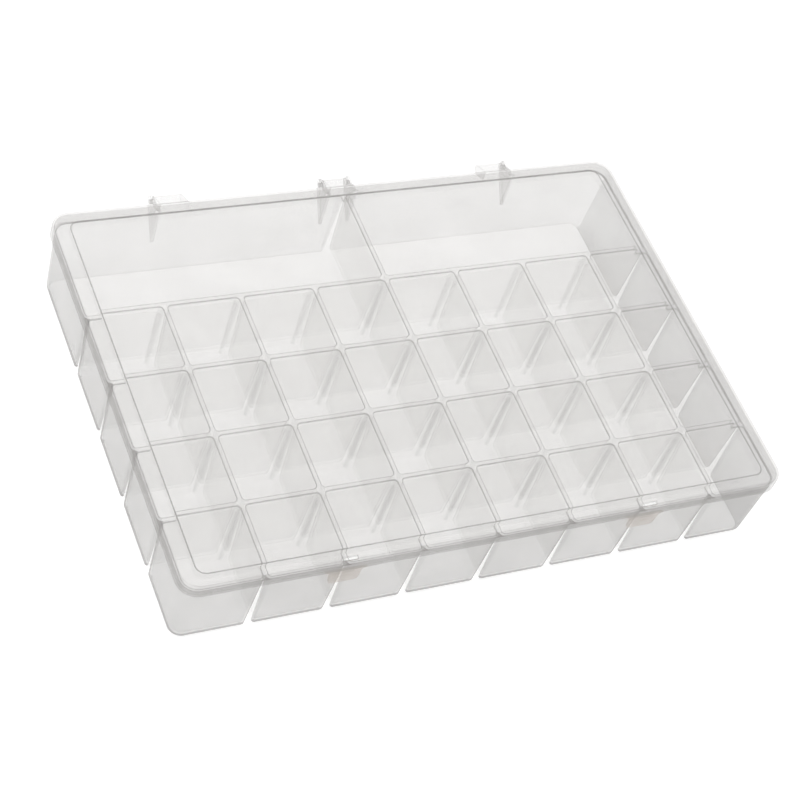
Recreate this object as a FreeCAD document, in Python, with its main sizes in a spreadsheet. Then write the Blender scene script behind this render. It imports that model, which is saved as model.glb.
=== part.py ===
import FreeCAD, Part
import Sketcher
import math
import os

# Divided storage tray with one hinged lid that two flexing tabs hold shut.
# Millimetres. +X runs along the eight columns, +Y to the hinge, +Z up.
# The origin is the middle of the overall box, on the plane the cups stand on.

os.makedirs("parts", exist_ok=True)
doc = FreeCAD.newDocument("divided_organizer")
sheet = doc.addObject("Spreadsheet::Sheet", "sizes")

drivingSizes = {
    # compartments
    "cellPitch": 44.0,
    "columnCount": 8,
    "rowCount": 4,
    "bayDepth": 65.6,
    "dividerWidth": 3.0,
    "cellDepth": 48.5,
    "wallDraft": 2.0,
    "floorBevel": 2.0,
    "cellCorner": 2.4,
    "trayCorner": 7.8,
    "cornerFlats": 2,
    # tray moulding
    "wallThickness": 1.2,
    "floorThickness": 1.5,
    "deckThickness": 1.4,
    "stripHeight": 4.2,
    # lid moulding
    "lidClearance": 0.6,
    "lidLift": 0.8,
    "panelThickness": 1.6,
    "skirtThickness": 1.4,
    "skirtReach": 6.8,
    "lidCorner": 11.0,
    "edgeRound": 2.2,
    "ribThickness": 1.0,
    "ribInsetSide": 9.6,
    "ribInsetFront": 7.6,
    "ribInsetRear": 6.6,
    "ribCorner": 5.0,
    "ribClearance": 0.4,
    # hinge
    "earInner": 8.7,
    "earOuter": 113.1,
    "earThickness": 2.0,
    "earTipRadius": 3.8,
    "earHeight": 24.0,
    "axisSetback": 9.9,
    "axisDrop": 8.1,
    "pegRadius": 1.3,
    "pegClearance": 0.06,
    "knuckleRadius": 2.9,
    "knuckleLength": 17.0,
    "sideClearance": 0.4,
    "earSlotClearance": 0.6,
    # latches
    "latchX": 88.7,
    "latchWidth": 16.4,
    "latchReach": 10.2,
    "latchFlare": 3.0,
    "latchSlant": 0.6,
    "latchRootGap": 0.05,
    "latchCorner": 1.0,
    "hookWidth": 9.0,
    "hookHeight": 1.6,
    "hookProud": 0.3,
    "catchWidth": 12.0,
    "catchHeight": 3.0,
    "catchDrop": 2.4,
    "catchClearance": 0.35,
    "windowDepth": 1.7,
}
for line, (name, value) in enumerate(drivingSizes.items(), start=1):
    sheet.set(f"A{line}", name)
    sheet.set(f"B{line}", str(value))
    sheet.setAlias(f"B{line}", name)
doc.recompute()


def dim(name):
    return float(sheet.get(name))


# ---------------------------------------------------------------- levels and lines

draftSlope = math.tan(math.radians(dim("wallDraft")))
dividerTop = dim("floorThickness") + dim("cellDepth")
rimLevel = dividerTop - dim("stripHeight")
panelUnderside = dividerTop + dim("lidLift")
lidTop = panelUnderside + dim("panelThickness")
skirtBottom = dividerTop - dim("skirtReach")
axisZ = dividerTop - dim("axisDrop")
ribBottom = rimLevel + dim("ribClearance")

halfDivider = dim("dividerWidth") / 2
columns = int(dim("columnCount"))
rows = int(dim("rowCount"))
# From the opening of the outer cells at the divider tops out to the lid's own edge.
wallAtRim = dim("wallThickness") - dim("stripHeight") * draftSlope
border = wallAtRim + dim("lidClearance") + dim("skirtThickness")

mouthHalfX = columns * dim("cellPitch") / 2 - halfDivider
lidHalfX = mouthHalfX + border
mouthSpanY = rows * dim("cellPitch") + dim("bayDepth")
earTipBehindLid = dim("axisSetback") + dim("earTipRadius")
lidSpanY = mouthSpanY + 2 * border
lidFront = -(lidSpanY + earTipBehindLid) / 2
lidRear = lidFront + lidSpanY
mouthFront = lidFront + border
mouthRear = lidRear - border
bayLine = mouthFront - halfDivider + rows * dim("cellPitch")
axisY = lidRear + dim("axisSetback")


def ribInside():
    """Inner faces of the lid's rib: half width, front and rear."""
    thickness = dim("ribThickness")
    return (lidHalfX - dim("ribInsetSide") - thickness,
            lidFront + dim("ribInsetFront") + thickness,
            lidRear - dim("ribInsetRear") - thickness)


# ---------------------------------------------------------------- sketch helpers

def originPlane(body, role):
    return next(item for item in body.Origin.OriginFeatures if item.Role == role)


def newSketch(body, name, role, offset):
    """Sketch on one of the body's own planes, moved along that plane's normal."""
    sketch = body.newObject("Sketcher::SketchObject", name)
    sketch.AttachmentSupport = [(originPlane(body, role), "")]
    sketch.MapMode = "FlatFace"
    sketch.setExpression(".AttachmentOffset.Base.z", offset)
    return sketch


def roundedLoop(left, front, right, back, radii):
    """Four straight sides joined by four arcs; radii run from front left anticlockwise."""
    corners = [(left, front, 180), (right, front, 270), (right, back, 0), (left, back, 90)]
    inward = [(1, 1), (-1, 1), (-1, -1), (1, -1)]
    arcs = []
    for (x, y, start), (dirX, dirY), radius in zip(corners, inward, radii):
        centre = FreeCAD.Vector(x + dirX * radius, y + dirY * radius, 0)
        circle = Part.Circle(centre, FreeCAD.Vector(0, 0, 1), radius)
        arcs.append(Part.ArcOfCircle(circle, math.radians(start), math.radians(start + 90)))
    sides = [Part.LineSegment(arcs[i].EndPoint, arcs[(i + 1) % 4].StartPoint) for i in range(4)]
    return [piece for pair in zip(arcs, sides) for piece in pair]


def facetedLoop(left, front, right, back, radii):
    """The same outline with each corner arc replaced by a few flats that touch it.

    Such an outline stays true when it is offset, so walls keep their thickness at the corners.
    """
    corners = [(left, front, 180, 1, 1), (right, front, 270, -1, 1),
               (right, back, 0, -1, -1), (left, back, 90, 1, -1)]
    turns = int(dim("cornerFlats")) + 1
    reach = 1 / math.cos(math.radians(45 / turns))
    points = []
    for (x, y, start, inX, inY), radius in zip(corners, radii):
        if radius == 0:
            points.append((x, y))
            continue
        for turn in range(turns):
            angle = math.radians(start + 90 * (turn + 0.5) / turns)
            points.append((x + radius * (inX + reach * math.cos(angle)),
                           y + radius * (inY + reach * math.sin(angle))))
    return polyline(points)


def polyline(points):
    vectors = [FreeCAD.Vector(x, y, 0) for x, y in points]
    return [Part.LineSegment(a, b) for a, b in zip(vectors, vectors[1:] + vectors[:1])]


def addFeature(body, kind, name, sketch, **expressions):
    feature = body.newObject(f"PartDesign::{kind}", name)
    feature.Profile = sketch
    for prop, formula in expressions.items():
        feature.setExpression(prop, formula)
    body.Tip = feature
    return feature


def cloneBody(source, name, shiftX, shiftY=0):
    """A body that repeats another one, moved along X and Y."""
    body = doc.addObject("PartDesign::Body", name)
    body.Label = name
    base = body.newObject("PartDesign::FeatureBase", name + "_base")
    base.BaseFeature = source
    body.Tip = base
    body.Placement = FreeCAD.Placement(FreeCAD.Vector(shiftX, shiftY, 0), FreeCAD.Rotation())
    return body


# ---------------------------------------------------------------- tray

# The tray is one moulding. It is stored as its cups, which meet at the middle of each divider,
# and the ears and catch bars that stand on its walls.

def buildCup(name, cell, plot, radii):
    """One drafted cup with its share of the deck and of the raised divider tops.

    cell is the opening at the divider tops and plot the ground up to the divider middles or
    the tray's outer wall, each as left, front, right, back; radii are the opening's corners.
    """
    body = doc.addObject("PartDesign::Body", name)
    body.Label = name
    rim = "sizes.floorThickness + sizes.cellDepth - sizes.stripHeight"
    left, front, right, back = cell

    def outlineAt(level, wall):
        """The drafted cell at a height, grown by a wall."""
        inset = (dividerTop - level) * draftSlope - wall
        shrunk = [radius - inset for radius in radii]
        return facetedLoop(left + inset, front + inset, right - inset, back - inset, shrunk)

    def bevelFootAt(level, wall):
        """The outline at the foot of the bevel that ends at a height."""
        inset = (dividerTop - level) * draftSlope - wall + dim("floorBevel")
        shrunk = [radius - inset for radius in radii]
        return facetedLoop(left + inset, front + inset, right - inset, back - inset, shrunk)

    # Outside: a bevelled foot, then straight drafted walls up to the rim.
    wall = dim("wallThickness")
    footSketch = newSketch(body, name + "_footprint", "XY_Plane", "0")
    footSketch.addGeometry(bevelFootAt(dim("floorBevel"), wall), False)
    foot = addFeature(body, "Pad", name + "_foot", footSketch, Length="sizes.floorBevel")
    foot.TaperAngle = 45
    wallSketch = newSketch(body, name + "_outside", "XY_Plane", "sizes.floorBevel")
    wallSketch.addGeometry(outlineAt(dim("floorBevel"), wall), False)
    addFeature(body, "Pad", name + "_walls", wallSketch, TaperAngle="sizes.wallDraft",
               Length=rim + " - sizes.floorBevel")

    # The deck closes the gap to the next cup, and the divider tops stand on it inside the
    # line of the lid's rib.
    deckSketch = newSketch(body, name + "_plot", "XY_Plane", rim)
    deckSketch.addGeometry(facetedLoop(*plotLoop(plot, radii)), False)
    deck = addFeature(body, "Pad", name + "_deck", deckSketch, Length="sizes.deckThickness")
    deck.Reversed = True
    ribX, ribFront, ribRear = ribInside()
    gap = dim("ribClearance")
    stripLeft, stripRight = max(plot[0], -ribX + gap), min(plot[2], ribX - gap)
    stripFront, stripBack = max(plot[1], ribFront + gap), min(plot[3], ribRear - gap)
    stripSketch = newSketch(body, name + "_top", "XY_Plane", rim + " - sizes.deckThickness")
    stripSketch.addGeometry(
        polyline([(stripLeft, stripFront), (stripRight, stripFront),
                  (stripRight, stripBack), (stripLeft, stripBack)]), False)
    addFeature(body, "Pad", name + "_strips", stripSketch,
               Length="sizes.deckThickness + sizes.stripHeight")

    # Inside: the bevel over the floor, then the drafted hollow up past the divider tops.
    hollowBase = dim("floorThickness") + dim("floorBevel")
    floorSketch = newSketch(body, name + "_floor", "XY_Plane", "sizes.floorThickness")
    floorSketch.addGeometry(bevelFootAt(hollowBase, 0), False)
    bevel = addFeature(body, "Pocket", name + "_bevel", floorSketch, Length="sizes.floorBevel")
    bevel.Reversed = True
    bevel.TaperAngle = 45
    hollowSketch = newSketch(body, name + "_inside", "XY_Plane",
                             "sizes.floorThickness + sizes.floorBevel")
    hollowSketch.addGeometry(outlineAt(hollowBase, 0), False)
    hollow = addFeature(body, "Pocket", name + "_hollow", hollowSketch,
                        TaperAngle="sizes.wallDraft", Length="sizes.cellDepth - sizes.floorBevel")
    hollow.Reversed = True
    return body


def plotLoop(plot, radii):
    """Deck outline: square at the divider middles, and at an outer wall just inside its face."""
    left, front, right, back = plot
    inset = dim("deckThickness") * draftSlope
    outerX = mouthHalfX + wallAtRim
    outerFront = mouthFront - wallAtRim
    outerRear = mouthRear + wallAtRim
    left = max(left, -outerX + inset)
    right = min(right, outerX - inset)
    front = max(front, outerFront + inset)
    back = min(back, outerRear - inset)
    large = dim("trayCorner")
    corners = [large + wallAtRim if radius == large else 0 for radius in radii]
    return left, front, right, back, corners


def buildCups():
    """Every compartment: the grid of cells row by row from the front, then the two bays."""
    pitch = dim("cellPitch")
    large = dim("trayCorner")
    growth = (dividerTop - dim("floorThickness") - dim("floorBevel")) * draftSlope
    plain = dim("cellCorner") + growth
    sideX = mouthHalfX + halfDivider
    frontLine = mouthFront - halfDivider
    cups = []
    firstOfKind = {}
    for row in range(rows):
        for column in range(columns):
            name = f"cell_{row + 1}_{column + 1}"
            kind = (row == 0, column == 0, column == columns - 1)
            if kind in firstOfKind:
                source, sourceRow, sourceColumn = firstOfKind[kind]
                cups.append(cloneBody(source, name, (column - sourceColumn) * pitch,
                                      (row - sourceRow) * pitch))
                continue
            plot = (-sideX + column * pitch, frontLine + row * pitch,
                    -sideX + (column + 1) * pitch, frontLine + (row + 1) * pitch)
            cell = (plot[0] + halfDivider, plot[1] + halfDivider,
                    plot[2] - halfDivider, plot[3] - halfDivider)
            frontLeft = large if row == 0 and column == 0 else plain
            frontRight = large if row == 0 and column == columns - 1 else plain
            cups.append(buildCup(name, cell, plot, (frontLeft, frontRight, plain, plain)))
            firstOfKind[kind] = (cups[-1], row, column)
    rearLine = mouthRear + halfDivider
    bayFront = bayLine + halfDivider
    cups.append(buildCup("bay_left", (-mouthHalfX, bayFront, -halfDivider, mouthRear),
                         (-sideX, bayLine, 0, rearLine), (plain, plain, plain, large)))
    cups.append(buildCup("bay_right", (halfDivider, bayFront, mouthHalfX, mouthRear),
                         (0, bayLine, sideX, rearLine), (plain, plain, large, plain)))
    return cups


def buildEar(name, x):
    """Gusset ear on the rear wall with a bore for a hinge peg."""
    body = doc.addObject("PartDesign::Body", name)
    body.Label = name
    earSketch = newSketch(body, name + "_side", "YZ_Plane", f"{x}")
    earSketch.addGeometry(earOutline(), False)
    bore = Part.Circle(FreeCAD.Vector(axisY, axisZ, 0), FreeCAD.Vector(0, 0, 1),
                       dim("pegRadius") + dim("pegClearance"))
    earSketch.addGeometry(bore, False)
    plate = addFeature(body, "Pad", name + "_plate", earSketch, Length="sizes.earThickness")
    plate.Midplane = True
    return body


def buildCatch(name, x):
    """Bar across the gap between two cups, behind a latch, with a sloping upper face."""
    body = doc.addObject("PartDesign::Body", name)
    body.Label = name
    top = skirtBottom - dim("catchDrop")
    bottom = top - dim("catchHeight")
    face = lidFront + dim("skirtThickness") + dim("catchClearance")
    shoulder = top - (trayFrontAt(bottom) - face)
    catchSketch = newSketch(body, name + "_side", "YZ_Plane", f"{x}")
    catchSketch.addGeometry(
        polyline([(face, bottom), (trayFrontAt(bottom), bottom), (trayFrontAt(top), top),
                  (face, shoulder)]), False)
    bar = addFeature(body, "Pad", name + "_bar", catchSketch, Length="sizes.catchWidth")
    bar.Midplane = True
    return body


def earPositions():
    return (-dim("earOuter"), -dim("earInner"), dim("earInner"), dim("earOuter"))


def trayFrontAt(level):
    """Outer face of the front wall at a height."""
    return mouthFront - dim("wallThickness") + (dividerTop - level) * draftSlope


def trayRearAt(level):
    return mouthRear + dim("wallThickness") - (dividerTop - level) * draftSlope


def tangentAngle(pointY, pointZ, radius, side):
    """Angle, seen from the hinge axis, where a line from the point touches a circle round it."""
    distance = math.hypot(pointY - axisY, pointZ - axisZ)
    return math.atan2(pointZ - axisZ, pointY - axisY) + side * math.acos(radius / distance)


def outlineRoundAxis(upper, lower, radius):
    """Closed outline of two points and the arc about the hinge axis that their tangents meet."""
    topAngle = tangentAngle(*upper, radius, -1)
    bottomAngle = tangentAngle(*lower, radius, 1)
    if bottomAngle > topAngle:
        bottomAngle -= 2 * math.pi
    circle = Part.Circle(FreeCAD.Vector(axisY, axisZ, 0), FreeCAD.Vector(0, 0, 1), radius)
    arc = Part.ArcOfCircle(circle, bottomAngle, topAngle)
    top = FreeCAD.Vector(*upper, 0)
    bottom = FreeCAD.Vector(*lower, 0)
    return [arc, Part.LineSegment(arc.EndPoint, top), Part.LineSegment(top, bottom),
            Part.LineSegment(bottom, arc.StartPoint)]


def earOutline():
    """A triangle from the rear wall to a round tip about the hinge axis, with a level top."""
    top = axisZ + dim("earTipRadius")
    bottom = top - dim("earHeight")
    return outlineRoundAxis((trayRearAt(top), top), (trayRearAt(bottom), bottom),
                            dim("earTipRadius"))


# ---------------------------------------------------------------- lid

def knuckleSpans():
    """Start and end along X of the three knuckles: one between the middle ears, one inboard
    of each outer ear."""
    inner = dim("earInner") - dim("earThickness") / 2 - dim("sideClearance")
    outer = dim("earOuter") - dim("earThickness") / 2 - dim("sideClearance")
    start = outer - dim("knuckleLength")
    return ((-outer, -start), (-inner, inner), (start, outer))


def buildLid():
    body = doc.addObject("PartDesign::Body", "lid")
    body.Label = "lid"
    divider = "sizes.floorThickness + sizes.cellDepth"
    underside = divider + " + sizes.lidLift"
    skirtEdge = divider + " - sizes.skirtReach"

    shellSketch = newSketch(body, "shellSketch", "XY_Plane", skirtEdge)
    shellSketch.addGeometry(
        roundedLoop(-lidHalfX, lidFront, lidHalfX, lidRear, [dim("lidCorner")] * 4), False)
    shell = addFeature(body, "Pad", "shell", shellSketch,
                       Length="sizes.skirtReach + sizes.lidLift + sizes.panelThickness")
    doc.recompute()
    topEdges = [f"Edge{i}" for i, edge in enumerate(shell.Shape.Edges, start=1)
                if edge.BoundBox.ZMin > lidTop - 0.01]
    rounding = body.newObject("PartDesign::Fillet", "topRound")
    rounding.Base = (shell, topEdges)
    rounding.setExpression("Radius", "sizes.edgeRound")
    body.Tip = rounding

    skirt = dim("skirtThickness")
    insideSketch = newSketch(body, "insideSketch", "XY_Plane", skirtEdge)
    insideSketch.addGeometry(
        roundedLoop(-lidHalfX + skirt, lidFront + skirt, lidHalfX - skirt, lidRear - skirt,
                    [dim("lidCorner") - skirt] * 4), False)
    inside = addFeature(body, "Pocket", "inside", insideSketch,
                        Length="sizes.skirtReach + sizes.lidLift")
    inside.Reversed = True

    # Slots in the rear skirt let the tray's ears through.
    slotSketch = newSketch(body, "slotSketch", "XY_Plane", skirtEdge)
    halfSlot = dim("earThickness") / 2 + dim("earSlotClearance")
    for x in earPositions():
        slotSketch.addGeometry(
            polyline([(x - halfSlot, lidRear - skirt - dim("lidClearance")),
                      (x + halfSlot, lidRear - skirt - dim("lidClearance")),
                      (x + halfSlot, lidRear + skirt), (x - halfSlot, lidRear + skirt)]), False)
    slots = addFeature(body, "Pocket", "earSlots", slotSketch,
                       Length="sizes.skirtReach - sizes.axisDrop + sizes.earTipRadius"
                              " + sizes.earSlotClearance")
    slots.Reversed = True

    # Windows through the front edge of the panel, above the latch hooks.
    windowSketch = newSketch(body, "windowSketch", "XY_Plane", underside)
    halfWindow = dim("hookWidth") / 2
    windowFront = lidFront + skirt / 2
    for x in (-dim("latchX"), dim("latchX")):
        windowSketch.addGeometry(
            polyline([(x - halfWindow, windowFront), (x + halfWindow, windowFront),
                      (x + halfWindow, windowFront + dim("windowDepth")),
                      (x - halfWindow, windowFront + dim("windowDepth"))]), False)
    windows = addFeature(body, "Pocket", "windows", windowSketch,
                         Length="2 * sizes.panelThickness")
    windows.Reversed = True

    # Knuckles reach back from the skirt to the hinge axis.
    for number, (start, end) in enumerate(knuckleSpans(), start=1):
        knuckleSketch = newSketch(body, f"knuckleSketch{number}", "YZ_Plane", f"{start}")
        knuckleSketch.addGeometry(knuckleOutline(), False)
        knuckle = addFeature(body, "Pad", f"knuckle{number}", knuckleSketch)
        knuckle.Length = end - start

    # A peg stands out of each knuckle into the bore of the ear beside it.
    for number, (x, side) in enumerate(pegRoots(), start=1):
        pegSketch = newSketch(body, f"pegSketch{number}", "YZ_Plane", f"{x}")
        pegSketch.addGeometry(
            Part.Circle(FreeCAD.Vector(axisY, axisZ, 0), FreeCAD.Vector(0, 0, 1),
                        dim("pegRadius")), False)
        peg = addFeature(body, "Pad", f"peg{number}", pegSketch,
                         Length="sizes.earThickness + 2 * sizes.sideClearance")
        peg.Reversed = side < 0
    return body


def buildRib():
    """The lid's locating rib, from under the panel to just above the tray's rim.

    It is one moulding with the lid, and stored apart so that collision can leave the space
    between it and the skirt open.
    """
    body = doc.addObject("PartDesign::Body", "lid_rib")
    body.Label = "lid_rib"
    ribSketch = newSketch(body, "ribSketch", "XY_Plane",
                          "sizes.floorThickness + sizes.cellDepth + sizes.lidLift")
    ribX, ribFront, ribRear = ribInside()
    thick = dim("ribThickness")
    ribSketch.addGeometry(
        roundedLoop(-ribX, ribFront, ribX, ribRear, [dim("ribCorner")] * 4), False)
    ribSketch.addGeometry(
        roundedLoop(-ribX - thick, ribFront - thick, ribX + thick, ribRear + thick,
                    [dim("ribCorner") + thick] * 4), False)
    rib = addFeature(body, "Pad", "rib", ribSketch,
                     Length="sizes.lidLift + sizes.stripHeight - sizes.ribClearance")
    rib.Reversed = True
    return body


def pegRoots():
    """X where each peg starts, just inside its knuckle, and which way it points."""
    spans = knuckleSpans()
    sunk = dim("sideClearance")
    return ((spans[0][0] + sunk, -1), (spans[1][0] + sunk, -1),
            (spans[1][1] - sunk, 1), (spans[2][1] - sunk, 1))


def knuckleOutline():
    """From the skirt's height at the lid's rear down to a round end about the hinge axis."""
    inSkirt = lidRear - dim("skirtThickness") / 2
    upper = (inSkirt, lidTop - dim("edgeRound"))
    lower = (inSkirt, skirtBottom)
    return outlineRoundAxis(upper, lower, dim("knuckleRadius"))


# ---------------------------------------------------------------- latches

def buildLatch(name, x):
    """Flexing tab under the skirt, flared into it, with a low hook on its inner face."""
    body = doc.addObject("PartDesign::Body", name)
    body.Label = name
    top = skirtBottom - dim("latchRootGap")
    bottom = skirtBottom - dim("latchReach")
    flare = dim("latchFlare")
    waist = dim("latchWidth") / 2 + dim("latchSlant")
    foot = dim("latchWidth") / 2
    corner = dim("latchCorner")

    # The plane's normal points to the front, so the tab is padded backwards from the skirt face.
    tabSketch = newSketch(body, "tabSketch", "XZ_Plane", f"{-lidFront}")
    flareArcs = []
    for side in (1, -1):
        centre = FreeCAD.Vector(x + side * (waist + flare), top - flare, 0)
        circle = Part.Circle(centre, FreeCAD.Vector(0, 0, 1), flare)
        start = 90 if side > 0 else 0
        flareArcs.append(Part.ArcOfCircle(circle, math.radians(start), math.radians(start + 90)))
    rightArc, leftArc = flareArcs
    points = [rightArc.EndPoint, FreeCAD.Vector(x + foot, bottom + corner, 0),
              FreeCAD.Vector(x + foot - corner, bottom, 0),
              FreeCAD.Vector(x - foot + corner, bottom, 0),
              FreeCAD.Vector(x - foot, bottom + corner, 0), leftArc.StartPoint]
    sides = [Part.LineSegment(a, b) for a, b in zip(points, points[1:])]
    root = Part.LineSegment(leftArc.EndPoint, rightArc.StartPoint)
    tabSketch.addGeometry([rightArc] + sides + [leftArc, root], False)
    tab = addFeature(body, "Pad", "tab", tabSketch, Length="sizes.skirtThickness")
    tab.Reversed = True

    hookSketch = newSketch(body, "hookSketch", "XZ_Plane", f"{-lidFront} - sizes.skirtThickness / 2")
    halfHook = dim("hookWidth") / 2
    hookSketch.addGeometry(
        polyline([(x - halfHook, bottom + corner), (x + halfHook, bottom + corner),
                  (x + halfHook, bottom + corner + dim("hookHeight")),
                  (x - halfHook, bottom + corner + dim("hookHeight"))]), False)
    hook = addFeature(body, "Pad", "hook", hookSketch,
                      Length="sizes.skirtThickness / 2 + sizes.hookProud")
    hook.Reversed = True
    return body


# ---------------------------------------------------------------- build, check and write

bodies = buildCups()
firstEar = buildEar("ear_1", earPositions()[0])
bodies.append(firstEar)
bodies += [cloneBody(firstEar, f"ear_{number}", x - earPositions()[0])
           for number, x in enumerate(earPositions()[1:], start=2)]
leftCatch = buildCatch("catch_left", -dim("latchX"))
leftLatch = buildLatch("latch_left", -dim("latchX"))
bodies += [leftCatch, cloneBody(leftCatch, "catch_right", 2 * dim("latchX")), buildLid(),
           buildRib(), leftLatch, cloneBody(leftLatch, "latch_right", 2 * dim("latchX"))]
doc.recompute()
for item in doc.Objects:
    if "Invalid" in item.State or "Error" in item.State:
        raise RuntimeError(f"{item.Name} did not build: {item.State}")
for body in bodies:
    shape = body.Shape
    if shape.isNull() or not shape.isValid() or len(shape.Solids) != 1:
        raise RuntimeError(f"{body.Label} has no valid single solid")
    shape.exportStep(f"parts/{body.Label}.step")
    box = shape.BoundBox
    print(f"{body.Label}: {shape.Volume / 1000:.1f} cm3, X {box.XMin:.2f} {box.XMax:.2f}, "
          f"Y {box.YMin:.2f} {box.YMax:.2f}, Z {box.ZMin:.2f} {box.ZMax:.2f}")
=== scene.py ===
import math

import bmesh
import bpy
import numpy as np
from mathutils import Matrix


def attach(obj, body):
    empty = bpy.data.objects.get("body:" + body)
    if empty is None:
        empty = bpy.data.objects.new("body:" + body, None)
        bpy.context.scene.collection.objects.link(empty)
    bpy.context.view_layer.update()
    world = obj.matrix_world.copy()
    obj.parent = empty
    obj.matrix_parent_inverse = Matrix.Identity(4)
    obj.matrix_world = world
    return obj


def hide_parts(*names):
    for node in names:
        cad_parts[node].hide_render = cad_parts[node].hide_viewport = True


# Near-clear divided organizer: a tray of 32 cells and two bays under one hinged lid.
# Each piece has one dict of settings, in millimetres and degrees. Meshes are written in metres.

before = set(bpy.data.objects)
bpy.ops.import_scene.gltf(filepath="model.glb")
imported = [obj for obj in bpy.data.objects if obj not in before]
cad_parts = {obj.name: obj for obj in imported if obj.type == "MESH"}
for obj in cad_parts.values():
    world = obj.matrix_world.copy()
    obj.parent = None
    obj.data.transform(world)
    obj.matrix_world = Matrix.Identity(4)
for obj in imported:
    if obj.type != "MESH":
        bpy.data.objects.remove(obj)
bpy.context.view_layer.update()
millimetre = 0.001
scene = bpy.context.scene
# Mesh clean-up: points closer than weld metres become one, edges shorter than sliver metres go,
# and faces within flatAngle degrees join. Edges are crisp past sharpAngle and eased past easeAngle.
meshing = dict(weld=2e-6, sliver=1e-6, flatAngle=0.5, sharpAngle=35, easeAngle=50, easeSteps=2)


# Colours and materials

# A hex colour as the linear RGBA that shader sockets take, by the sRGB curve.
def srgb(code):
    channels = np.array([int(code[i:i + 2], 16) for i in (1, 3, 5)]) / 255
    linear = np.where(channels <= 0.04045, channels / 12.92, ((channels + 0.055) / 1.055) ** 2.4)
    return (*linear.tolist(), 1.0)


# A node with its settings, and its sockets, by name or by number where names repeat, set to
# values or linked to other sockets.
def addNode(tree, kind, inputs=None, **settings):
    node = tree.nodes.new(kind)
    for name, value in settings.items():
        setattr(node, name, value)
    for name, value in (inputs or {}).items():
        if isinstance(value, bpy.types.NodeSocket):
            tree.links.new(value, node.inputs[name])
        else:
            node.inputs[name].default_value = value
    return node


def newMaterial(name):
    material = bpy.data.materials.new(name)
    material.use_nodes = True
    material.node_tree.nodes.clear()
    return material, material.node_tree


# Haze clouds are about 35 mm across. The noise between low and high thins or thickens the haze by
# the swing, blend sets how early a surface counts as grazing, and through is the share of the
# scattered light that goes on through the wall.
haze = dict(scale=28.0, detail=3.0, low=0.3, high=0.7, swing=0.1, blend=0.15, ior=1.49,
            through=0.5)


# Hazy see-through plastic. A share of the surface, the cover, scatters light, half of it back
# and half of it through; more of it scatters at a grazing view, and the rest is clear.
def clearPlastic(name, colour, cover, grazing, roughness):
    material, tree = newMaterial(name)
    place = addNode(tree, "ShaderNodeTexCoord")
    clouds = addNode(tree, "ShaderNodeTexNoise",
                     {"Vector": place.outputs["Object"], "Scale": haze["scale"],
                      "Detail": haze["detail"]})
    mottle = addNode(tree, "ShaderNodeMapRange",
                     {"Value": clouds.outputs["Fac"], "From Min": haze["low"],
                      "From Max": haze["high"], "To Min": cover * (1 - haze["swing"]),
                      "To Max": cover * (1 + haze["swing"])})
    facing = addNode(tree, "ShaderNodeLayerWeight", {"Blend": haze["blend"]})
    amount = addNode(tree, "ShaderNodeMapRange",
                     {"Value": facing.outputs["Facing"], "From Min": 0.0, "From Max": 1.0,
                      "To Min": mottle.outputs["Result"], "To Max": grazing})
    back = addNode(tree, "ShaderNodeBsdfPrincipled",
                   {"Base Color": srgb(colour), "Roughness": roughness, "IOR": haze["ior"],
                    "Alpha": amount.outputs["Result"]})
    clear = addNode(tree, "ShaderNodeBsdfTransparent")
    glow = addNode(tree, "ShaderNodeBsdfTranslucent", {"Color": srgb(colour)})
    forward = addNode(tree, "ShaderNodeMixShader",
                      {"Fac": amount.outputs["Result"], 1: clear.outputs["BSDF"],
                       2: glow.outputs["BSDF"]})
    whole = addNode(tree, "ShaderNodeMixShader",
                    {"Fac": haze["through"], 1: back.outputs["BSDF"],
                     2: forward.outputs["Shader"]})
    addNode(tree, "ShaderNodeOutputMaterial", {"Surface": whole.outputs["Shader"]})
    return material


# Injection-moulded polypropylene, near clear: a faint warm grey haze on every wall.
trayPlastic = clearPlastic("polypropyleneTray", "#EDECEA", 0.045, 0.17, 0.22)
# Painted shade at the plastic's rounded edges: a thin dark line where the edge bends light away.
trayEdgeShade = clearPlastic("polypropyleneTrayEdgeShade", "#757371", 0.48, 0.66, 0.2)
# Painted shade in the tight upright corners of the cups: soft, darker streaks.
trayCorner = clearPlastic("polypropyleneTrayCornerShade", "#8A8886", 0.11, 0.26, 0.22)
# Painted shade on the outer walls, seen without the lid over them: darker than the dividers.
trayOutsideShade = clearPlastic("polypropyleneTrayOutsideShade", "#9E9C9A", 0.4, 0.58, 0.22)
# The rear wall is seen from inside the bays: lighter painted shade than on the other outer walls.
trayRearShade = clearPlastic("polypropyleneTrayRearShade", "#B7B5B3", 0.24, 0.42, 0.22)
# The hinge ears are thicker and stand edge on.
earPlastic = clearPlastic("polypropyleneEar", "#B5B3B1", 0.15, 0.3, 0.2)
# Lid moulding, polished smoother than the tray: an even and slightly darker veil.
lidPlastic = clearPlastic("polypropyleneLid", "#CAC8C6", 0.21, 0.42, 0.16)
# Painted shade on its border and skirt, where they turn down at the rim: darker than the panel.
lidSkirtShade = clearPlastic("polypropyleneLidSkirtShade", "#9A9794", 0.19, 0.5, 0.16)
# Painted shade on the lid's eased edges, seen at a low angle: fine dark outlines.
lidEdgeShade = clearPlastic("polypropyleneLidEdgeShade", "#66635F", 0.5, 0.85, 0.16)
# The rib under the panel is hardly seen, but painted shade on its top shows as one thin line.
ribSide = clearPlastic("polypropyleneRib", "#E4E3E1", 0.03, 0.1, 0.16)
ribLineShade = clearPlastic("polypropyleneRibLineShade", "#66635F", 0.48, 0.62, 0.16)
# Painted shade on the latch tabs' cut edges: a crisp dark outline.
latchEdgeShade = clearPlastic("polypropyleneLatchEdgeShade", "#57534F", 0.8, 0.9, 0.2)
# Latch tabs: clear plastic with a faint warm cast where it has been flexed.
latchPlastic = clearPlastic("polypropyleneLatch", "#DCD0C5", 0.22, 0.45, 0.2)
print("materials done")


# Tray: cups on one pitch, joined by a deck and by raised divider tops

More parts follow.
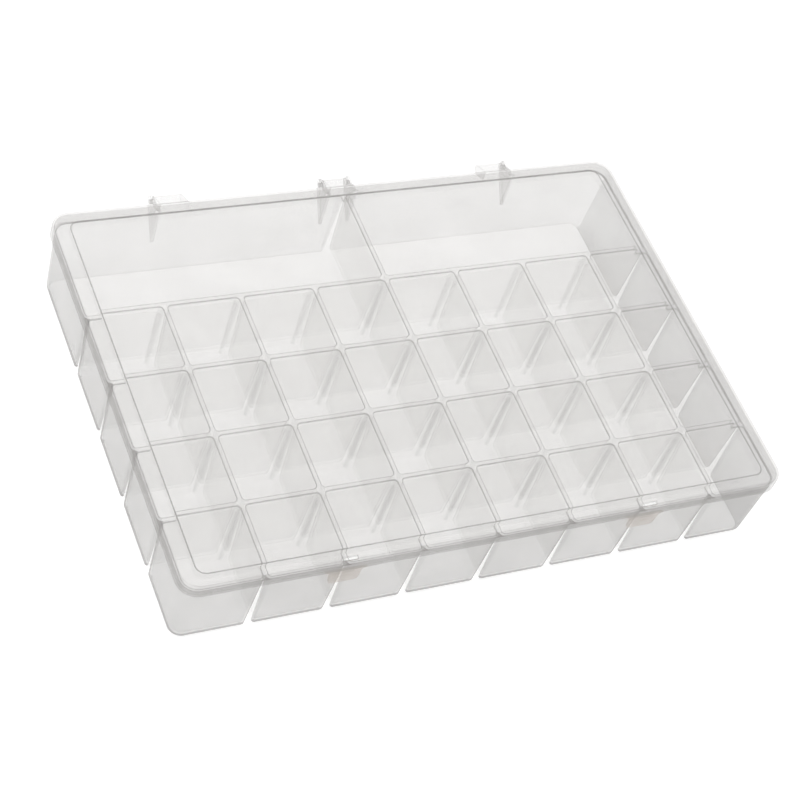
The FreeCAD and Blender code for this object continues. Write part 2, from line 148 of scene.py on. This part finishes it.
# Raised divider tops end where the lid's rib comes down. Corner arcs stay wider than tightest, and
# nudge is how far to each side of such an end its two levels are read. hair guards a division.
tray = dict(
    pitch=44.0, columns=8, rows=4, divider=3.0,
    top=50.0, rim=45.8, deckUnder=44.4, floorTop=1.5, floorRound=2.0,
    wall=1.2, slope=math.tan(math.radians(2)), mouthHalfX=174.5,
    mouthFront=-127.65, mouthRear=113.95, bayLine=46.85,
    raisedHalfX=166.553, raisedFront=-121.703, raisedRear=109.003,
    plainCorner=2.1, trayCorner=7.8, tightest=0.8, edgeRound=0.6, arcSteps=8,
    roundSteps=4, edgeSteps=3, nudge=0.01, hair=1e-6,
)
tray["wallAtRim"] = tray["wall"] - (tray["top"] - tray["rim"]) * tray["slope"]
# What a point of a cup's mouth carries: its place, the way into the cell, the plot point where
# the flat top ends, the level of that top, the corner that its arc turns about, the arc's number
# (or noArc on a straight side) and 1 where that arc adjoins an outer side of the tray.
ringColumns = ["x", "y", "inX", "inY", "plotX", "plotY", "level", "radius", "cornerX", "cornerY",
               "signX", "signY", "arc", "beside"]
noArc = -1
# Where each corner's arc starts, in degrees, in the order in which the ring meets the corners.
cornerStarts = {("left", "front"): 180, ("right", "front"): 270, ("right", "back"): 0,
                ("left", "back"): 90}
sidesAfter = ["front", "right", "back", "left"]


# Divider tops stand above the rim inside the raised area, and level with it outside.
def topLevel(x, y):
    inside = ((np.abs(x) < tray["raisedHalfX"]) & (y > tray["raisedFront"])
              & (y < tray["raisedRear"]))
    return np.where(inside, tray["top"], tray["rim"])


# One corner of the mouth: a quarter circle about a centre one radius in from both sides. Its plot
# points lie straight out from it on the plot's edge, with the plot's own corner at mid turn.
def cornerArc(cell, outer, number, radius):
    sideX, sideY = list(cornerStarts)[number]
    signX, signY = (1 if sideX == "left" else -1), (1 if sideY == "front" else -1)
    cornerX, cornerY = cell[sideX], cell[sideY]
    centreX, centreY = cornerX + signX * radius, cornerY + signY * radius
    reachX, reachY = (tray["wallAtRim"] if side in outer else tray["divider"] / 2
                      for side in (sideX, sideY))
    turn = np.radians(cornerStarts[sideX, sideY] + np.linspace(0, 90, tray["arcSteps"] + 1))
    dirX, dirY = np.cos(turn), np.sin(turn)
    x, y = centreX + radius * dirX, centreY + radius * dirY
    if sideX in outer and sideY in outer:
        plotX, plotY = x + tray["wallAtRim"] * dirX, y + tray["wallAtRim"] * dirY
    else:
        stretch = np.minimum((radius + reachX) / np.maximum(np.abs(dirX), tray["hair"]),
                             (radius + reachY) / np.maximum(np.abs(dirY), tray["hair"]))
        plotX, plotY = centreX + dirX * stretch, centreY + dirY * stretch
        middle = tray["arcSteps"] // 2
        plotX[middle] = centreX - signX * (radius + reachX)
        plotY[middle] = centreY - signY * (radius + reachY)
    same = np.ones_like(x)
    beside = float(sideX in outer or sideY in outer)
    return np.stack([x, y, -dirX, -dirY, plotX, plotY, topLevel(x, y), same * radius,
                     same * cornerX, same * cornerY, same * signX, same * signY, same * number,
                     same * beside], 1)


# The points that a straight side needs: two at each place where a raised top ends on it.
def stripEnds(last, first, reach):
    start, along = last[:2], first[:2] - last[:2]
    inward = last[2:4]
    axis = int(abs(along[1]) > abs(along[0]))
    limits = np.array([[-tray["raisedHalfX"], tray["raisedHalfX"]],
                       [tray["raisedFront"], tray["raisedRear"]]])[axis]
    share = (limits - start[axis]) / along[axis]
    share = np.sort(share[(share > 0) & (share < 1)])[:, None]
    step = along / np.abs(along[axis]) * tray["nudge"]
    place = start + share * along
    before, beyond = topLevel(*(place - step).T), topLevel(*(place + step).T)
    change = before != beyond
    place = np.repeat(place[change], 2, axis=0)
    level = np.stack([before, beyond], 1)[change].reshape(-1, 1)
    cornerBlank, besideBlank = np.zeros((len(place), 5)), np.zeros((len(place), 1))
    return np.hstack([place, np.tile(inward, (len(place), 1)), place - inward * reach, level,
                      cornerBlank, besideBlank + noArc, besideBlank])


# A cup's mouth as one closed ring, and which of its plot points lie on the tray's outer face.
def mouthRing(cell, outer, radii):
    arcs = [cornerArc(cell, outer, number, radii[number]) for number in range(4)]
    parts = []
    for number, side in enumerate(sidesAfter):
        reach = tray["wallAtRim"] if side in outer else tray["divider"] / 2
        parts += [arcs[number], stripEnds(arcs[number][-1], arcs[(number + 1) % 4][0], reach)]
    ring = dict(zip(ringColumns, np.concatenate(parts).T))
    away = dict(left=cell["left"] - ring["plotX"], right=ring["plotX"] - cell["right"],
                front=cell["front"] - ring["plotY"], back=ring["plotY"] - cell["back"])
    onOuter = np.zeros(len(ring["x"]), bool)
    for side in outer:
        onOuter |= away[side] > tray["wallAtRim"] - tray["hair"]
    for number, (sideX, sideY) in enumerate(cornerStarts):
        if sideX in outer and sideY in outer:
            onOuter |= ring["arc"] == number
    return ring, onOuter


# The rings of one cup from its floor, up the wall, over the top edge, down the outside and round
# to its underside, with the kind of the band that ends at each ring.
def cupRings(ring, onOuter):
    slope, top, wall, deck = (tray[key] for key in ("slope", "top", "wall", "deckUnder"))
    fillet, small, level = tray["floorRound"], tray["edgeRound"], ring["level"]
    onArc = ring["arc"] != noArc

    # The mouth moved inward: sides by the inset, and corner arcs tightened to match.
    def at(inset, height):
        tight = np.maximum(ring["radius"] - inset, tray["tightest"])
        arcX = ring["cornerX"] + ring["signX"] * (inset + tight) - tight * ring["inX"]
        arcY = ring["cornerY"] + ring["signY"] * (inset + tight) - tight * ring["inY"]
        return np.stack([np.where(onArc, arcX, ring["x"] + ring["inX"] * inset),
                         np.where(onArc, arcY, ring["y"] + ring["inY"] * inset),
                         np.broadcast_to(height, level.shape)], 1)

    rings, kinds = [], []
    quarter = np.linspace(0, math.pi / 2, tray["roundSteps"] + 1)
    # Floor round: a quarter turn from the floor to the drafted wall.
    for angle in quarter:
        height = tray["floorTop"] + fillet * (1 - math.cos(angle))
        rings.append(at((top - height) * slope + fillet * (1 - math.sin(angle)), height))
        kinds.append("round")
    # Wall, then the small round over its top edge: a quarter turn again.
    rings.append(at((top - deck) * slope, deck))
    kinds.append("wall")
    for angle in np.linspace(0, math.pi / 2, tray["edgeSteps"] + 1):
        height = level - small + small * math.sin(angle)
        rings.append(at((top - level + small) * slope - small * (1 - math.cos(angle)), height))
        kinds.append("edge" if angle else "wall")
    rings.append(np.stack([ring["plotX"], ring["plotY"], level], 1))
    kinds.append("flat")
    # Outer face of the rim, or the seam with the next cup, down to the deck's underside.
    drop = np.where(onOuter, (level - deck) * slope, 0.0)
    rings.append(np.stack([ring["plotX"] + ring["inX"] * drop, ring["plotY"] + ring["inY"] * drop,
                           np.full_like(level, deck)], 1))
    kinds.append("seam")
    rings.append(at((top - deck) * slope - wall, deck))
    kinds.append("flat")
    # Outside of the cup: drafted wall and a round foot, a quarter turn to the underside.
    for angle in quarter:
        height = fillet * (1 - math.sin(angle))
        rings.append(at((top - height) * slope - wall + fillet * (1 - math.cos(angle)), height))
        kinds.append("round" if angle else "wall")
    return np.stack(rings), np.array(kinds)


trayMaterials = [trayPlastic, trayEdgeShade, trayCorner, trayOutsideShade, trayRearShade]
wallSlot, edgeShadeSlot, cornerShadeSlot, outsideShadeSlot, rearShadeSlot = range(len(trayMaterials))


# Each cup's rings are joined band by band into quads, and its floor and underside are one face
# each. A seam between two cups has no face.
def cupFaces(rings, kinds, ring, onOuter, base):
    levels, count = rings.shape[:2]
    here = np.arange(count)
    after = np.roll(here, -1)
    low = base + np.arange(levels - 1)[:, None] * count
    quads = np.stack([low + here, low + after, low + count + after, low + count + here], 2)
    kind = np.broadcast_to(kinds[1:, None], (levels - 1, count))
    bothOuter = np.broadcast_to(onOuter & onOuter[after], kind.shape)
    sameArc = (ring["arc"] == ring["arc"][after]) & (ring["arc"] != noArc)
    cornerShadeFaces = (kind == "wall") & sameArc & (ring["radius"] < tray["trayCorner"])
    below = np.arange(1, levels)[:, None] >= int(np.argmax(kinds == "seam"))
    outerShade = below & (bothOuter | (sameArc & (ring["beside"] > 0)))
    rear = ring["y"] > tray["mouthRear"] - tray["trayCorner"]
    # Painted shade: dark top edge lines, darker outer faces (lighter at the rear), streaks in tight
    # corners.
    slots = np.select([kind == "edge", outerShade & rear, outerShade, cornerShadeFaces],
                      [edgeShadeSlot, rearShadeSlot, outsideShadeSlot, cornerShadeSlot], wallSlot)
    keep = (kind != "seam") | bothOuter
    floor = base + here
    underside = base + (levels - 1) * count + here[::-1]
    return (quads[keep].tolist() + [floor.tolist(), underside.tolist()],
            slots[keep].tolist() + [wallSlot, wallSlot])


# The cells and bays as left, front, right and back of the mouth, with the sides that are the
# tray's own and the four corner radii.
def trayCups():
    pitch, half, edge = tray["pitch"], tray["divider"] / 2, tray["mouthHalfX"]
    plain, large = tray["plainCorner"], tray["trayCorner"]
    for row in range(tray["rows"]):
        for column in range(tray["columns"]):
            left, front = column * pitch - edge, tray["mouthFront"] + row * pitch
            outer = {side for side, there in (("left", column == 0), ("front", row == 0),
                                              ("right", column == tray["columns"] - 1)) if there}
            radii = [large if {"left", "front"} <= outer else plain,
                     large if {"right", "front"} <= outer else plain, plain, plain]
            yield dict(left=left, front=front, right=left + pitch - 2 * half,
                       back=front + pitch - 2 * half), outer, radii
    bayFront = tray["bayLine"] + half
    yield (dict(left=-edge, front=bayFront, right=-half, back=tray["mouthRear"]),
           {"left", "back"}, [plain, plain, plain, large])
    yield (dict(left=half, front=bayFront, right=edge, back=tray["mouthRear"]),
           {"right", "back"}, [plain, plain, large, plain])


def buildTray():
    points, faces, slots = np.empty((0, 3)), [], []
    for cell, outer, radii in trayCups():
        ring, onOuter = mouthRing(cell, outer, radii)
        rings, kinds = cupRings(ring, onOuter)
        newFaces, newSlots = cupFaces(rings, kinds, ring, onOuter, len(points))
        points = np.concatenate([points, rings.reshape(-1, 3)])
        faces += newFaces
        slots += newSlots
    return points * millimetre, faces, slots


# The finished mesh as an object at the origin, with its sharp edges marked, that rides on a body
# and stands in for its CAD nodes.
def finishPiece(mesh, body, nodes):
    mesh.shade_smooth()
    mesh.set_sharp_from_angle(angle=math.radians(meshing["sharpAngle"]))
    piece = bpy.data.objects.new(mesh.name, mesh)
    scene.collection.objects.link(piece)
    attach(piece, body)
    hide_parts(*nodes)
    return piece


trayPoints, trayFaces, traySlots = buildTray()
trayMesh = bpy.data.meshes.new("trayCups")
trayMesh.from_pydata(trayPoints.tolist(), [], trayFaces)
for material in trayMaterials:
    trayMesh.materials.append(material)
trayMesh.polygons.foreach_set("material_index", traySlots)
work = bmesh.new()
work.from_mesh(trayMesh)
bmesh.ops.remove_doubles(work, verts=work.verts, dist=meshing["weld"])
bmesh.ops.dissolve_degenerate(work, edges=work.edges, dist=meshing["sliver"])
work.to_mesh(trayMesh)
work.free()
cupNodes = [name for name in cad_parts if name.startswith(("cell_", "bay_"))]
finishPiece(trayMesh, "base", cupNodes)
print("tray done")


# Lid, latches, ears and catch bars: the CAD solids, merged, with their edges eased

# A merged copy of a CAD node whose sharp edges get a small round, in the last material (painted
# dark edge shade) unless rimSlot says another. pickSlots gives material slots from the faces'
# centres and normals.
def easedCopy(name, node, body, materials, easing, pickSlots=None, rimSlot=-1):
    work = bmesh.new()
    work.from_mesh(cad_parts[node].data)
    bmesh.ops.remove_doubles(work, verts=work.verts, dist=meshing["weld"])
    bmesh.ops.dissolve_limit(work, angle_limit=math.radians(meshing["flatAngle"]),
                             verts=work.verts, edges=work.edges)
    mesh = bpy.data.meshes.new(name)
    work.to_mesh(mesh)
    work.free()
    for material in materials:
        mesh.materials.append(material)
    if pickSlots:
        centres, normals = np.empty((2, len(mesh.polygons) * 3), np.float32)
        mesh.polygons.foreach_get("center", centres)
        mesh.polygons.foreach_get("normal", normals)
        chosen = pickSlots(centres.reshape(-1, 3) / millimetre, normals.reshape(-1, 3))
        mesh.polygons.foreach_set("material_index", chosen.astype(np.int32))
    bevel = finishPiece(mesh, body, [node]).modifiers.new("easedEdges", "BEVEL")
    bevel.width = easing * millimetre
    bevel.segments = meshing["easeSteps"]
    bevel.limit_method = "ANGLE"
    bevel.angle_limit = math.radians(meshing["easeAngle"])
    bevel.material = rimSlot % len(materials)


# easing is the round on the edges. A face whose normal's upward part is below flat isn't level,
# and one above up faces upward.
lid = dict(easing=0.4, halfX=177.55, front=-130.7, border=2.3, flat=0.97)
rib = dict(easing=0.1, up=0.9)
latch = dict(easing=0.45)
catchBar = dict(easing=0.15)
ear = dict(easing=0.25, count=4)


# The rounded border of the panel and the skirt's outer face get painted shade, darker than the
# panel.
def lidSkirtShadeMask(centres, normals):
    onBorder = ((np.abs(centres[:, 0]) > lid["halfX"] - lid["border"])
                | (centres[:, 1] < lid["front"] + lid["border"]))
    return onBorder & (np.abs(normals[:, 2]) < lid["flat"])


# The rib's upper face gets painted shade as a dark line; its sides and its lower face hardly show.
def ribLineShadeMask(centres, normals):
    return normals[:, 2] > rib["up"]


easedCopy("lidShell", "lid", "lid", [lidPlastic, lidSkirtShade, lidEdgeShade],
          lid["easing"], lidSkirtShadeMask)
easedCopy("lidRib", "lid_rib", "lid", [ribSide, ribLineShade],
          rib["easing"], ribLineShadeMask, rimSlot=0)
for side in ("left", "right"):
    easedCopy(f"latchTab.{side}", f"latch_{side}", f"latch_{side}",
              [latchPlastic, latchEdgeShade], latch["easing"])
    easedCopy(f"catchBar.{side}", f"catch_{side}", "base",
              [trayPlastic, trayEdgeShade], catchBar["easing"])
for number in range(1, ear["count"] + 1):
    easedCopy(f"hingeEar.{number}", f"ear_{number}", "base",
              [earPlastic, trayEdgeShade], ear["easing"])
print("lid, latches, ears and catches done")


# Floor, light and camera

# 1 for rays that the viewer sees directly, in a reflection or through glass.
def whiteForView(tree):
    path = addNode(tree, "ShaderNodeLightPath")
    first = addNode(tree, "ShaderNodeMath",
                    {0: path.outputs["Is Camera Ray"], 1: path.outputs["Is Glossy Ray"]},
                    operation="MAXIMUM")
    either = addNode(tree, "ShaderNodeMath",
                     {0: first.outputs["Value"], 1: path.outputs["Is Transmission Ray"]},
                     operation="MAXIMUM")
    return either.outputs["Value"]


# floorHalf is in metres. The sun is as wide as sunAngle says, so its shadows are soft, and its
# turn brings it in from the rear left, high up.
stage = dict(floorHalf=6.0, floorDrop=0.3, floorGlow=0.45, worldLevel=0.75, seenLevel=1.0,
             sunLevel=0.9, sunAngle=60, sunTurn=(-35, -25, 0))
white = srgb("#FFFFFF")

# White paper: a diffuse surface that keeps the shadow, lifted to white for the viewer.
floorMaterial, floorTree = newMaterial("paperSweep")
paper = addNode(floorTree, "ShaderNodeBsdfDiffuse", {"Color": srgb("#F0F0F0")})
lift = addNode(floorTree, "ShaderNodeEmission", {"Color": white, "Strength": stage["floorGlow"]})
lifted = addNode(floorTree, "ShaderNodeAddShader",
                 {0: paper.outputs["BSDF"], 1: lift.outputs["Emission"]})
shownPaper = addNode(floorTree, "ShaderNodeMixShader",
                     {"Fac": whiteForView(floorTree), 1: paper.outputs["BSDF"],
                      2: lifted.outputs["Shader"]})
addNode(floorTree, "ShaderNodeOutputMaterial", {"Surface": shownPaper.outputs["Shader"]})

half, under = stage["floorHalf"], -stage["floorDrop"] * millimetre
floorMesh = bpy.data.meshes.new("floor")
floorMesh.from_pydata([(-half, -half, under), (half, -half, under), (half, half, under),
                       (-half, half, under)], [], [(0, 1, 2, 3)])
floorMesh.materials.append(floorMaterial)
floor = bpy.data.objects.new("floor", floorMesh)
scene.collection.objects.link(floor)

# An even white room: one level lights the object, and the viewer sees plain white behind it.
world = bpy.data.worlds.new("studio")
scene.world = world
world.use_nodes = True
worldTree = world.node_tree
worldTree.nodes.clear()
roomLight = addNode(worldTree, "ShaderNodeBackground",
                    {"Color": white, "Strength": stage["worldLevel"]})
seenRoom = addNode(worldTree, "ShaderNodeBackground",
                   {"Color": white, "Strength": stage["seenLevel"]})
room = addNode(worldTree, "ShaderNodeMixShader",
               {"Fac": whiteForView(worldTree), 1: roomLight.outputs["Background"],
                2: seenRoom.outputs["Background"]})
addNode(worldTree, "ShaderNodeOutputWorld", {"Surface": room.outputs["Shader"]})

sun = bpy.data.lights.new("softSun", "SUN")
sun.energy = stage["sunLevel"]
sun.angle = math.radians(stage["sunAngle"])
sunObject = bpy.data.objects.new("softSun", sun)
sunObject.rotation_euler = [math.radians(turn) for turn in stage["sunTurn"]]
scene.collection.objects.link(sunObject)

# The camera's place in metres and its own axes, one row each for right, up and backward. A ray may
# pass through as many clear walls as wallsSeen says.
view = dict(lens=92.43, sensor=36.0, near=0.05, far=50.0, wallsSeen=64,
            place=(-0.48738, -0.60215, 0.87947),
            axes=((0.898082, -0.354628, 0.260168), (0.133178, 0.783012, 0.607581),
                  (-0.41918, -0.511009, 0.750438)))
camera = bpy.data.cameras.new("camera")
camera.lens = view["lens"]
camera.sensor_width = view["sensor"]
camera.clip_start = view["near"]
camera.clip_end = view["far"]
cameraObject = bpy.data.objects.new("camera", camera)
pose = np.eye(4)
pose[:3, :3] = np.array(view["axes"]).T
pose[:3, 3] = view["place"]
cameraObject.matrix_world = Matrix(pose.tolist())
scene.collection.objects.link(cameraObject)
scene.camera = cameraObject

scene.cycles.transparent_max_bounces = view["wallsSeen"]
scene.view_settings.view_transform = "Standard"
print("floor, light and camera done")
